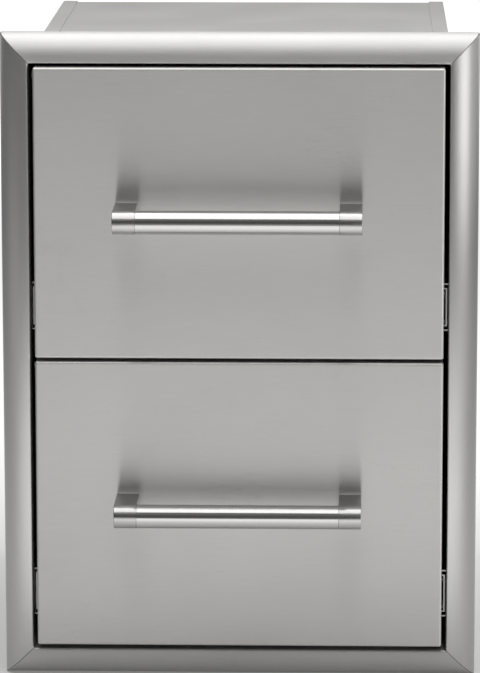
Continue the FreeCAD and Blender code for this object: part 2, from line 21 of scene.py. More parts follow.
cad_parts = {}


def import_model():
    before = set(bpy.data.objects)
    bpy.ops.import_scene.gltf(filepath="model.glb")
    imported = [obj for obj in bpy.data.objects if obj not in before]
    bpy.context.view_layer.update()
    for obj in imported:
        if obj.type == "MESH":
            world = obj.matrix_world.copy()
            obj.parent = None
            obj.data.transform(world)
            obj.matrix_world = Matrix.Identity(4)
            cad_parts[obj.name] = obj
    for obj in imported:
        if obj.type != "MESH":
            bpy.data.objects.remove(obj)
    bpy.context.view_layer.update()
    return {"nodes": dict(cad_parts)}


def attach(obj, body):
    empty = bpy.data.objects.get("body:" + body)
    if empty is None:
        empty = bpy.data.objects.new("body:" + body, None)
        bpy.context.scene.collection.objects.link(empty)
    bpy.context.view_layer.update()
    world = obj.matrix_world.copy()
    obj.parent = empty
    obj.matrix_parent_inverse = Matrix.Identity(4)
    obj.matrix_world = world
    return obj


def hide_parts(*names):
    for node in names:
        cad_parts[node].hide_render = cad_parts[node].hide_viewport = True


LOG = logging.getLogger("drawer_unit")
RIGHT_ANGLE = math.pi / 2
SIDES = (-1.0, 1.0)

Socket = bpy.types.NodeSocket
Sockets = Mapping[str, Socket]
Material = bpy.types.Material
Shape = bmesh.types.BMesh
Triple = tuple[float, float, float]
Section = list[tuple[float, float]]
Loop = list[Vector]

FLOAT, VECTOR = "NodeSocketFloat", "NodeSocketVector"
GEOMETRY, MATERIAL = "NodeSocketGeometry", "NodeSocketMaterial"

# Sizes that several pieces share
TRIM_WIDTH, TRIM_HEIGHT = 0.444, 0.610
TRIM_FOOT = -0.0239
FRONT_FACE = -0.0297
HANDLE_RISE = 0.1359


# Shader tools


def by_socket(sizes: Any) -> dict[str, float]:
    """Returns a dataclass's sizes by socket name, such as Head Radius for head_radius."""
    numbers = {key: value for key, value in vars(sizes).items() if isinstance(value, float)}
    return {key.replace("_", " ").title(): value for key, value in numbers.items()}


@dataclass(frozen=True)
class Noise:
    """Settings of a Noise Texture.

    Attributes:
        scale: how fine it is.
        detail: how many finer layers it has.
        roughness: how strong those are.
    """

    scale: float
    detail: float
    roughness: float = 0.5


class Graph:
    """A node tree, with short calls for adding nodes and joining them."""

    def __init__(self, tree: bpy.types.NodeTree) -> None:
        """Wraps a tree that already exists."""
        self.tree = tree

    def feed(self, socket: Socket, value: Any) -> None:
        """Joins an output to a socket, or sets the socket's own value.

        Args:
            socket: the input to fill.
            value: an output socket, a number, a colour or a vector.
        """
        if isinstance(value, bpy.types.NodeSocket):
            self.tree.links.new(value, socket)
        else:
            socket.default_value = value

    def add(self, kind: str, inputs: Mapping[Any, Any] | None = None, **settings: Any) -> bpy.types.Node:
        """Adds a node.

        Args:
            kind: the node's type name.
            inputs: values or outputs by socket name or number.
            settings: the node's own properties.

        Returns:
            The new node.
        """
        node = self.tree.nodes.new(kind)
        for name, value in settings.items():
            setattr(node, name, value)
        for key, value in (inputs or {}).items():
            self.feed(node.inputs[key], value)
        return node

    def math(self, operation: str, *values: Any, clamp: bool = False) -> Socket:
        """Adds a Math node and returns its result, kept from 0 to 1 if clamp is set."""
        node = self.add("ShaderNodeMath", dict(enumerate(values)), operation=operation, use_clamp=clamp)
        return node.outputs[0]

    def vector(self, operation: str, *values: Any) -> Socket:
        """Adds a Vector Math node and returns its vector."""
        node = self.add("ShaderNodeVectorMath", dict(enumerate(values)), operation=operation)
        return node.outputs["Vector"]

    def measure(self, operation: str, *values: Any) -> Socket:
        """Adds a Vector Math node and returns its number, such as a length."""
        node = self.add("ShaderNodeVectorMath", dict(enumerate(values)), operation=operation)
        return node.outputs["Value"]

    def scaled(self, value: Any, factor: Any) -> Socket:
        """Adds a node that multiplies a vector or colour by a number, and returns the result."""
        node = self.add("ShaderNodeVectorMath", {0: value, "Scale": factor}, operation="SCALE")
        return node.outputs["Vector"]

    def parts(self, value: Any) -> Sockets:
        """Adds a Separate XYZ node and returns its outputs X, Y and Z."""
        return self.add("ShaderNodeSeparateXYZ", {0: value}).outputs

    def joined(self, **parts: Any) -> Socket:
        """Adds a Combine XYZ node for the given X, Y and Z and returns its vector."""
        return self.add("ShaderNodeCombineXYZ", parts).outputs[0]

    def noise(self, place: Socket, noise: Noise) -> Sockets:
        """Adds a Noise Texture and returns its outputs."""
        return self.add("ShaderNodeTexNoise", {"Vector": place, **by_socket(noise)}).outputs

    def span(self, value: Any, low: float, high: float, start: float = 0.0, end: float = 1.0) -> Socket:
        """Spreads the range from low to high smoothly over the one from start to end."""
        limits = {0: value, 1: low, 2: high, 3: start, 4: end}
        return self.add("ShaderNodeMapRange", limits, interpolation_type="SMOOTHSTEP").outputs[0]


def new_tree(
    name: str, kind: str, inputs: Mapping[str, str], outputs: Mapping[str, str]
) -> bpy.types.NodeTree:
    """Makes a node tree with named inputs and outputs.

    Args:
        name: the tree's name.
        kind: its type.
        inputs: socket types by input name.
        outputs: socket types by output name.

    Returns:
        The tree, with no nodes yet.
    """
    tree = bpy.data.node_groups.new(name, kind)
    for direction, sockets in (("INPUT", inputs), ("OUTPUT", outputs)):
        for label, socket_type in sockets.items():
            tree.interface.new_socket(label, in_out=direction, socket_type=socket_type)
    return tree


@dataclass
class EffectGroup:
    """A shader node group that several finishes share, built once.

    Attributes:
        name: the group's name.
        inputs: its named inputs with their socket types.
        outputs: its named outputs with their socket types.
        draw: makes the outputs, by name, from the group's graph and its inputs.
    """

    name: str
    inputs: Mapping[str, str]
    outputs: Mapping[str, str]
    draw: Callable[[Graph, Sockets], dict[str, Socket]]

    def tree(self) -> bpy.types.NodeTree:
        """Builds the group's tree.

        Returns:
            The tree, the same one each time.
        """
        known = bpy.data.node_groups.get(self.name)
        if known:
            return known
        tree = new_tree(self.name, "ShaderNodeTree", self.inputs, self.outputs)
        graph = Graph(tree)
        given = graph.add("NodeGroupInput").outputs
        graph.add("NodeGroupOutput", self.draw(graph, given))
        return tree

    def place(self, graph: Graph, inputs: Mapping[str, Any]) -> Sockets:
        """Puts the group into a material with the material's own values, and returns its outputs."""
        return graph.add("ShaderNodeGroup", inputs, node_tree=self.tree()).outputs


# The effects' textures, and the ranges in which they fade in
SCRATCHES = Noise(1.0, 2.0, 0.6)
SCRATCH_SLOPE = 8.0
BANDS = Noise(1.0, 5.0, 0.66)
BAND_RANGE = (0.3, 0.7)
CLOUDS = Noise(9.0, 3.0)
CLOUD_RANGE = (0.35, 0.68)
SWAY = Noise(30.0, 2.0)
SWAY_REACH = 0.012
WIPES = Noise(26.0, 5.0, 0.7)
WIPE_RANGE = (0.54, 0.74)
SPOT_RIM, HALO_RIM = (0.7, 1.0), (0.9, 1.9)
SEAM_RIM = (0.35, 1.0)


def draw_brush_lines(graph: Graph, given: Sockets) -> dict[str, Socket]:
    """Fine parallel lines left by a belt, with softer bands between them.

    Args:
        graph: the group's graph.
        given: the group's inputs.

    Returns:
        The group's outputs, by name.
    """
    scratches = graph.noise(graph.vector("MULTIPLY", given["Position"], given["Stretch"]), SCRATCHES)["Fac"]
    bands = graph.noise(graph.vector("MULTIPLY", given["Position"], given["Bands"]), BANDS)["Fac"]
    return {
        "Streak": graph.span(bands, *BAND_RANGE, -1.0, 1.0),
        "Slope": graph.math("MULTIPLY_ADD", scratches, SCRATCH_SLOPE, -SCRATCH_SLOPE / 2),
    }


def draw_handling(graph: Graph, given: Sockets) -> dict[str, Socket]:
    """Soft cloudiness and faint wiped smears of a surface that has been handled.

    Args:
        graph: the group's graph.
        given: the group's inputs.

    Returns:
        The group's outputs, by name.
    """
    place = given["Position"]
    haze = graph.span(graph.noise(place, CLOUDS)["Fac"], *CLOUD_RANGE)
    sway = graph.scaled(graph.noise(place, SWAY)["Color"], SWAY_REACH)
    wipes = graph.noise(graph.vector("ADD", place, sway), WIPES)["Fac"]
    return {"Haze": haze, "Smears": graph.math("MULTIPLY", graph.span(wipes, *WIPE_RANGE), haze)}


def draw_weld_spots(graph: Graph, given: Sockets) -> dict[str, Socket]:
    """Round marks of a spot welder at even steps along a line.

    Args:
        graph: the group's graph.
        given: the group's inputs.

    Returns:
        The group's outputs, by name.
    """
    along = graph.math("DIVIDE", graph.math("SUBTRACT", given["Along"], given["First"]), given["Step"])
    off = graph.math("SUBTRACT", along, graph.math("ROUND", along))
    off = graph.math("MULTIPLY", off, given["Step"])
    reach = graph.measure("LENGTH", graph.joined(X=off, Y=given["Across"]))
    share = graph.math("DIVIDE", reach, given["Radius"])
    disc = graph.span(share, *SPOT_RIM, 1.0, 0.0)
    halo = graph.span(share, *HALO_RIM, 1.0, 0.0)
    return {
        "Spot": disc,
        "Halo": graph.math("SUBTRACT", halo, disc, clamp=True),
        "Dent": graph.math("SUBTRACT", 1.0, disc),
    }


def draw_mitre_seams(graph: Graph, given: Sockets) -> dict[str, Socket]:
    """Fine dressed weld lines along the mitres of an upright frame's four corners.

    Args:
        graph: the group's graph.
        given: the group's inputs.

    Returns:
        The group's outputs, by name.
    """
    parts = graph.parts(given["Position"])
    inward = graph.math("SUBTRACT", given["Side"], graph.math("ABSOLUTE", parts["X"]))
    above = graph.math("SUBTRACT", parts["Z"], given["Foot"])
    below = graph.math("SUBTRACT", given["Head"], parts["Z"])
    off = graph.math("SUBTRACT", inward, graph.math("MINIMUM", above, below))
    share = graph.math("DIVIDE", graph.math("ABSOLUTE", off), given["Half Width"])
    return {"Seam": graph.span(share, *SEAM_RIM, 1.0, 0.0)}


BRUSH_LINES = EffectGroup(
    "brush_lines",
    {"Position": VECTOR, "Stretch": VECTOR, "Bands": VECTOR},
    {"Streak": FLOAT, "Slope": FLOAT},
    draw_brush_lines,
)
HANDLING = EffectGroup("handling", {"Position": VECTOR}, {"Haze": FLOAT, "Smears": FLOAT}, draw_handling)
WELD_SPOTS = EffectGroup(
    "weld_spots",
    {"Along": FLOAT, "Across": FLOAT, "First": FLOAT, "Step": FLOAT, "Radius": FLOAT},
    {"Spot": FLOAT, "Halo": FLOAT, "Dent": FLOAT},
    draw_weld_spots,
)
MITRE_SEAMS = EffectGroup(
    "mitre_seams",
    {"Position": VECTOR, "Side": FLOAT, "Foot": FLOAT, "Head": FLOAT, "Half Width": FLOAT},
    {"Seam": FLOAT},
    draw_mitre_seams,
)


# Finishes


class Grain(Enum):
    """Direction of the brush lines: an axis, and whether they run round it instead."""

    ACROSS = ((1.0, 0.0, 0.0), False)
    UPRIGHT = ((0.0, 0.0, 1.0), False)
    DEEP = ((0.0, 1.0, 0.0), False)
    ROUND_BAR = ((1.0, 0.0, 0.0), True)


@dataclass(frozen=True)
class WeldRow:
    """Where a sheet's spot-weld marks are.

    Attributes:
        across: half width between the two rows.
        first: the first mark's place along Y.
        step: from mark to mark.
        radius: of one mark.
    """

    across: float
    first: float
    step: float
    radius: float

    def marks(self, graph: Graph, place: Socket) -> Sockets:
        """Adds the marks to a material.

        Args:
            graph: the material's graph.
            place: the sheet's own coordinates.

        Returns:
            The outputs of the marks' group.
        """
        parts = graph.parts(place)
        off = graph.math("SUBTRACT", graph.math("ABSOLUTE", parts["X"]), self.across)
        return WELD_SPOTS.place(graph, {**by_socket(self), "Along": parts["Y"], "Across": off})


@dataclass(frozen=True)
class Mitres:
    """Outline of a frame whose corners are mitred, for the lines along the mitres.

    Attributes:
        side: half of the frame's width.
        foot: its lower edge.
        head: its upper edge.
        half_width: of one line.
    """

    side: float
    foot: float
    head: float
    half_width: float


@dataclass(frozen=True)
class Pool:
    """Soft oval pool of light painted on the floor as glow.

    Attributes:
        middle: where it is brightest.
        reach: how far it goes to each side, and forward and back.
        glow: the light it adds.
        even: share of the way out over which it stays even.
    """

    middle: tuple[float, float]
    reach: tuple[float, float]
    glow: float
    even: float


@dataclass(frozen=True)
class Finish:
    """A surface's finish, made into a material once.

    Attributes:
        name: the material's name.
        tone: its colour.
        roughness: of the whole surface.
    """

    name: str
    tone: Triple
    roughness: float

    def material(self) -> Material:
        """Builds the finish's material.

        Returns:
            The material, the same one each time.
        """
        known = bpy.data.materials.get(self.name)
        if known:
            return known
        material = bpy.data.materials.new(self.name)
        material.use_nodes = True
        material.diffuse_color = (*self.tone, 1.0)
        graph = Graph(material.node_tree)
        graph.tree.nodes.clear()
        values = self.values(graph, graph.add("ShaderNodeTexCoord").outputs["Object"])
        shader = graph.add("ShaderNodeBsdfPrincipled", values)
        graph.add("ShaderNodeOutputMaterial", {"Surface": shader.outputs["BSDF"]})
        return material

    def values(self, graph: Graph, place: Socket) -> dict[str, Any]:
        """Returns what goes into the material's shader, by input name."""
        raise NotImplementedError


# How scratches and bands compare in width, and what each mask does to the steel
SCRATCH_WIDTH, BAND_WIDTH = 0.4, 1.0
STREAK_ROUGHNESS = 0.35
SMEAR_SHADE, SMEAR_ROUGHNESS = -0.04, 0.5
HALO_SHADE, SPOT_SHADE, SPOT_ROUGHNESS, SPOT_DEPTH = -0.16, 0.05, -0.08, 0.00006
SEAM_SHADE, SEAM_ROUGHNESS = -0.6, 0.15

# Added to the tangent, which would be zero where a face looks along the grain
TANGENT_GUARD = (0.0, 0.004, 0.011)


@dataclass(frozen=True)
class SteelFinish(Finish):
    """Stainless steel as one of the sheets, strips or bars comes off the belt.

    Attributes:
        anisotropy: how much wider reflections are across the grain than along it.
        grain: direction of the brush lines.
        lines: scratches in a metre.
        run: how often a scratch breaks in a metre.
        slope: how far the scratches' sides lean, as a tangent.
        streak: change of tone from band to band.
        haze: how much the cloudiness adds to the roughness.
        welds: the sheet's spot-weld marks.
        mitres: the frame whose mitres it shows.
    """

    anisotropy: float = 0.0
    grain: Grain = Grain.ACROSS
    lines: float = 1100.0
    run: float = 40.0
    slope: float = 0.012
    streak: float = 0.02
    haze: float = 0.02
    welds: WeldRow | None = None
    mitres: Mitres | None = None

    def stretch(self, width: float) -> tuple[float, ...]:
        """How much the texture's coordinates are squeezed.

        Args:
            width: of the lines, where 1 is a band's.

        Returns:
            A factor for each axis.
        """
        axis, turned = self.grain.value
        along, across = (self.lines, self.run) if turned else (self.run, self.lines)
        return tuple((along if part else across) / width for part in axis)

    def tangent(self, graph: Graph, normal: Socket) -> Socket:
        """Direction that reflections are drawn out in, across the brush lines.

        Args:
            graph: the material's graph.
            normal: of the surface.

        Returns:
            The vector.
        """
        axis, turned = self.grain.value
        across = graph.vector("CROSS_PRODUCT", axis, normal)
        if turned:
            across = graph.vector("CROSS_PRODUCT", across, normal)
        return graph.vector("ADD", across, TANGENT_GUARD)

    def values(self, graph: Graph, place: Socket) -> dict[str, Any]:
        """Works out the steel's colour, roughness and normal.

        Args:
            graph: the material's graph.
            place: the piece's own coordinates.

        Returns:
            What goes into the shader, by input name.
        """
        stretch = {"Stretch": self.stretch(SCRATCH_WIDTH), "Bands": self.stretch(BAND_WIDTH)}
        brushed = BRUSH_LINES.place(graph, {"Position": place, **stretch})
        handled = HANDLING.place(graph, {"Position": place})
        normal = graph.add("ShaderNodeNewGeometry").outputs["Normal"]
        tangent = self.tangent(graph, normal)
        lean = graph.scaled(tangent, graph.math("MULTIPLY", brushed["Slope"], self.slope))
        normal = graph.vector("NORMALIZE", graph.vector("ADD", normal, lean))
        masks = [
            (brushed["Streak"], self.streak, STREAK_ROUGHNESS * self.streak),
            (handled["Haze"], 0.0, self.haze),
            (handled["Smears"], SMEAR_SHADE, SMEAR_ROUGHNESS * self.haze),
        ]
        if self.welds:
            marks = self.welds.marks(graph, place)
            masks += [(marks["Halo"], HALO_SHADE, 0.0), (marks["Spot"], SPOT_SHADE, SPOT_ROUGHNESS)]
            dent = graph.math("MULTIPLY", marks["Dent"], SPOT_DEPTH)
            bump = graph.add("ShaderNodeBump", {"Distance": 1.0, "Height": dent, "Normal": normal})
            normal = bump.outputs["Normal"]
        if self.mitres:
            seams = MITRE_SEAMS.place(graph, {"Position": place, **by_socket(self.mitres)})
            masks.append((seams["Seam"], SEAM_SHADE, SEAM_ROUGHNESS))
        shade, rough = 1.0, self.roughness
        for mask, shade_change, rough_change in masks:
            if shade_change:
                shade = graph.math("MULTIPLY_ADD", mask, shade_change, shade)
            if rough_change:
                rough = graph.math("MULTIPLY_ADD", mask, rough_change, rough)
        values = {
            "Base Color": graph.scaled(self.tone, shade),
            "Metallic": 1.0,
            "Roughness": rough,
            "Normal": normal,
            "Anisotropic": self.anisotropy,
        }
        if self.anisotropy:
            values["Tangent"] = tangent
        return values


@dataclass(frozen=True)
class MouldedPlastic(Finish):
    """Matt moulded plastic with a fine spark-eroded texture.

    Attributes:
        pits: the texture.
        pit_depth: how deep it goes.
        pit_strength: how much of it the light shows.
        pit_roughness: how much the roughness differs between pits and lands.
        haze: how much the cloudiness adds to the tone.
        darkest: the tone's share where there is no haze.
    """

    pits: Noise = Noise(2600.0, 2.0)
    pit_depth: float = 0.00003
    pit_strength: float = 0.6
    pit_roughness: float = 0.12
    haze: float = 0.25
    darkest: float = 0.9

    def values(self, graph: Graph, place: Socket) -> dict[str, Any]:
        """Works out the plastic's colour, roughness and normal.

        Args:
            graph: the material's graph.
            place: the piece's own coordinates.

        Returns:
            What goes into the shader, by input name.
        """
        pits = graph.noise(place, self.pits)["Fac"]
        haze = HANDLING.place(graph, {"Position": place})["Haze"]
        height = graph.math("MULTIPLY", pits, self.pit_depth)
        bump = graph.add("ShaderNodeBump", {"Strength": self.pit_strength, "Distance": 1.0, "Height": height})
        lowest = self.roughness - self.pit_roughness / 2
        shade = graph.math("MULTIPLY_ADD", haze, self.haze, self.darkest)
        return {
            "Base Color": graph.scaled(self.tone, shade),
            "Roughness": graph.math("MULTIPLY_ADD", pits, self.pit_roughness, lowest),
            "Normal": bump.outputs["Normal"],
        }


@dataclass(frozen=True)
class FloorPaper(Finish):
    """Pale paper floor with pools of light painted on it as glow.

    Attributes:
        specular: how strongly it mirrors.
        fibre: its fine unevenness.
        fibre_tone: how much the tone changes with it.
        height: of the floor.
        glow: the light it adds everywhere.
        pools: its pools of light.
        sweep: where it turns white behind the object, from and to along Y.
        sweep_glow: the light it adds there.
    """

    specular: float = 0.1
    fibre: Noise = Noise(40.0, 3.0)
    fibre_tone: float = 0.02
    height: float = TRIM_FOOT
    glow: float = 0.14
    pools: tuple[Pool, ...] = (
        Pool((0.08, -1.04), (1.4, 1.06), 0.82, 0.42),
        Pool((-2.30, -1.20), (2.0, 1.50), 0.26, 0.2),
        Pool((1.80, -1.20), (1.6, 1.30), 0.16, 0.2),
        Pool((0.10, 2.60), (1.5, 2.60), 0.56, 0.5),
    )
    sweep: tuple[float, float] = (2.4, 5.2)
    sweep_glow: float = 0.85

    def values(self, graph: Graph, place: Socket) -> dict[str, Any]:
        """Works out the floor's colour and glow.

        Args:
            graph: the material's graph.
            place: the floor's own coordinates.

        Returns:
            What goes into the shader, by input name.
        """
        fibre = graph.noise(place, self.fibre)["Fac"]
        shade = graph.math("MULTIPLY_ADD", fibre, self.fibre_tone, 1.0 - self.fibre_tone / 2)
        glow = graph.span(graph.parts(place)["Y"], *self.sweep, self.glow, self.glow + self.sweep_glow)
        for pool in self.pools:
            off = graph.vector("SUBTRACT", place, (*pool.middle, self.height))
            share = graph.measure("LENGTH", graph.vector("DIVIDE", off, (*pool.reach, 1.0)))
            glow = graph.math("ADD", glow, graph.span(share, pool.even, 1.0, pool.glow, 0.0))
        return {
            "Base Color": graph.scaled(self.tone, shade),
            "Roughness": self.roughness,
            "Specular IOR Level": self.specular,
            "Emission Color": (1.0, 1.0, 1.0, 1.0),
            "Emission Strength": glow,
        }


TRIM_TONE = (0.50, 0.496, 0.487)
# The upright trim members' tone is a darker copy of the across members' steel: painted shade.
UPRIGHT_SHADED_TONE = (0.45, 0.446, 0.438)
FRONT_TONE = (0.565, 0.558, 0.542)
HANDLE_TONE = (0.53, 0.526, 0.517)
# The posts' tone is a darker copy of the bar's steel: painted shade, which also deepens the dark streaks that
# the posts leave in the fronts' reflections.
POST_SHADED_TONE = (0.46, 0.456, 0.448)
SHEET_TONE = (0.55, 0.545, 0.53)

TRIM_MITRES = Mitres(TRIM_WIDTH / 2, TRIM_FOOT, TRIM_FOOT + TRIM_HEIGHT, 0.0006)
CABINET_WELDS = WeldRow(0.1875, 0.020, 0.110, 0.0024)

TRIM_ACROSS = SteelFinish("trim_brushed_across", TRIM_TONE, 0.36, 0.9, mitres=TRIM_MITRES)
TRIM_UPRIGHT = SteelFinish(
    "trim_upright_painted_shade", UPRIGHT_SHADED_TONE, 0.28, 0.9, Grain.UPRIGHT, mitres=TRIM_MITRES
)
FRONT_STEEL = SteelFinish("front_brushed_steel", FRONT_TONE, 0.28, 1.0)
POST_STEEL = SteelFinish("post_satin_painted_shade", POST_SHADED_TONE, 0.18, 0.85)
HANDLE_STEEL = SteelFinish("handle_satin_steel", HANDLE_TONE, 0.21, 0.95, Grain.ROUND_BAR, 1600.0, 120.0)
CABINET_STEEL = SteelFinish("cabinet_mill_steel", SHEET_TONE, 0.40, 0.45, haze=0.04, welds=CABINET_WELDS)
BOX_STEEL = SteelFinish("box_mill_steel", SHEET_TONE, 0.38, 0.45, Grain.DEEP, haze=0.04)
SLIDE_STEEL = SteelFinish("slide_rolled_steel", (0.56, 0.56, 0.555), 0.28, 0.4, Grain.DEEP)
CAGE_STEEL = SteelFinish("cage_pressed_steel", (0.50, 0.50, 0.50), 0.32, 0.0, Grain.DEEP)
BALL_STEEL = SteelFinish(
    "ball_polished_steel", (0.72, 0.72, 0.72), 0.08, slope=0.0, streak=0.0, haze=0.01
)
FASTENER_STEEL = SteelFinish("fastener_plain_steel", (0.58, 0.58, 0.575), 0.28, run=1100.0)
BUMPER_PLASTIC = MouldedPlastic("bumper_moulded_plastic", (0.022, 0.022, 0.023), 0.55)
FLOOR_PAPER = FloorPaper("floor_paper", (0.62, 0.62, 0.615), 0.9)


# Mesh tools

# Edges that turn more than this many degrees stay sharp
PIECE_CREASE, FASTENER_CREASE = 32.0, 38.0

# Points nearer than this are one
MERGE_REACH = 1e-7


def angles(start: float, end: float, steps: int) -> list[float]:
    """Returns angles from start to end in even steps, both included."""
    return [start + (end - start) * step / steps for step in range(steps + 1)]


def rounded_ring(half: float, low: float, high: float, radius: float, y: float, steps: int = 6) -> Loop:
    """Points round a rectangle with rounded corners, in a plane of constant Y.

    Args:
        half: half its width.
        low: its lower edge.
        high: its upper edge.
        radius: of its corners.
        y: the plane.
        steps: parts of each corner.

    Returns:
        The points, in order.
    """
    centres = (
        (half - radius, high - radius),
        (radius - half, high - radius),
        (radius - half, low + radius),
        (half - radius, low + radius),
    )
    points = []
    for quarter, (x, z) in enumerate(centres):
        for angle in angles(quarter * RIGHT_ANGLE, (quarter + 1) * RIGHT_ANGLE, steps):
            points.append(Vector((x + radius * math.cos(angle), y, z + radius * math.sin(angle))))
    return points


def lofted(loops: Sequence[Loop], closed: bool = False) -> Shape:
    """Skin over loops of equal length, its ends filled unless the skin closes on itself.

    Args:
        loops: the loops, in order.
        closed: joins the last loop to the first.

    Returns:
        The mesh, its doubles merged and its faces turned outwards.
    """
    mesh = bmesh.new()
    rows = [[mesh.verts.new(point) for point in loop] for loop in loops]
    for first, second in zip(rows, rows[1:] + rows[:1] if closed else rows[1:]):
        for i, j in zip(range(len(first)), [*range(1, len(first)), 0]):
            mesh.faces.new((first[i], first[j], second[j], second[i]))
    if not closed:
        mesh.faces.new(rows[0])
        mesh.faces.new(rows[-1])
    cleaned(mesh)
    return mesh


def cleaned(mesh: Shape) -> None:
    """Merges doubles, drops faces left with no area and turns the rest outwards.

    Args:
        mesh: the mesh to clean.
    """
    bmesh.ops.remove_doubles(mesh, verts=mesh.verts, dist=MERGE_REACH)
    bmesh.ops.dissolve_degenerate(mesh, edges=mesh.edges, dist=MERGE_REACH)
    bmesh.ops.recalc_face_normals(mesh, faces=mesh.faces)


def smoothed(mesh: Shape, crease: float) -> None:
    """Smooths every face, but keeps sharp edges sharp.

    Args:
        mesh: the mesh to smooth.
        crease: edges that turn more than this many degrees stay sharp.
    """
    for face in mesh.faces:
        face.smooth = True
    for edge in mesh.edges:
        edge.smooth = len(edge.link_faces) == 2 and edge.calc_face_angle(0.0) < math.radians(crease)


def linked(name: str, data: bpy.types.ID) -> bpy.types.Object:
    """Puts a mesh, lamp or camera into the scene.

    Args:
        name: its object's name.
        data: the mesh, lamp or camera.

    Returns:
        The object, at the origin.
    """
    item = bpy.data.objects.new(name, data)
    bpy.context.scene.collection.objects.link(item)
    return item


def made_piece(name: str, mesh: Shape, material: Material) -> bpy.types.Object:
    """Turns a mesh into an object with smooth faces between its sharp edges.

    Args:
        name: the object's name.
        mesh: the piece's shape, which is freed.
        material: its finish.

    Returns:
        The object, at the origin.
    """
    data = bpy.data.meshes.new(name)
    smoothed(mesh, PIECE_CREASE)
    mesh.to_mesh(data)
    mesh.free()
    data.materials.append(material)
    return linked(name, data)


def fitted(piece: bpy.types.Object, body: str, slot: str, *nodes: str) -> None:
    """Gives a piece its body and hides the imported nodes that it stands for.

    Args:
        piece: the finished object.
        body: the body it moves with.
        slot: the record's material slot; not used.
        nodes: the nodes that it replaces.
    """
    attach(piece, body)
    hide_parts(*nodes)
    LOG.info("%s: %d faces on %s", piece.name, len(piece.data.polygons), body)


# Trim frame


